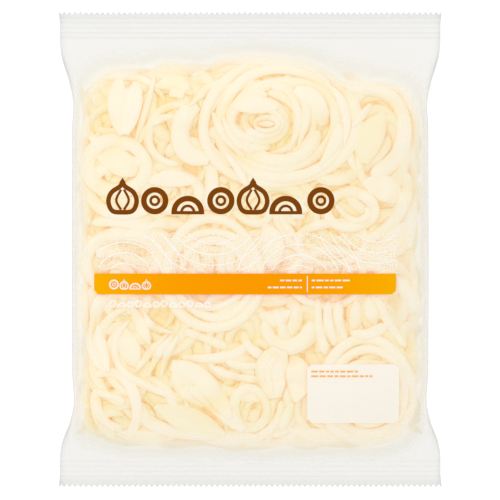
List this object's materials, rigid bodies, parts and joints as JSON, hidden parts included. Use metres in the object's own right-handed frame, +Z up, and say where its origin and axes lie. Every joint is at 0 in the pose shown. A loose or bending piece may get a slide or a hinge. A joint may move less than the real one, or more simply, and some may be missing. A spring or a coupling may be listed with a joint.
{
  "type": "bag of sliced onions",
  "caption": "Sealed clear pillow bag filled with raw sliced onion rings, crimped and toothed across both ends, lying on its back with the printed side up.",
  "frame": {"origin": "middle of the bag on the surface that it lies on", "axes": "+X across the bag, +Y towards its top weld, +Z up out of its printed side"},
  "size_m": [0.19, 0.235, 0.0343],
  "materials": {
    "film": "satin",
    "onion": "satin",
    "print_brown": "satin",
    "print_orange": "satin",
    "print_white": "satin",
    "label": "matte"
  },
  "bodies": {
    "root": {"onion_bag": "film"}
  },
  "joints": []
}
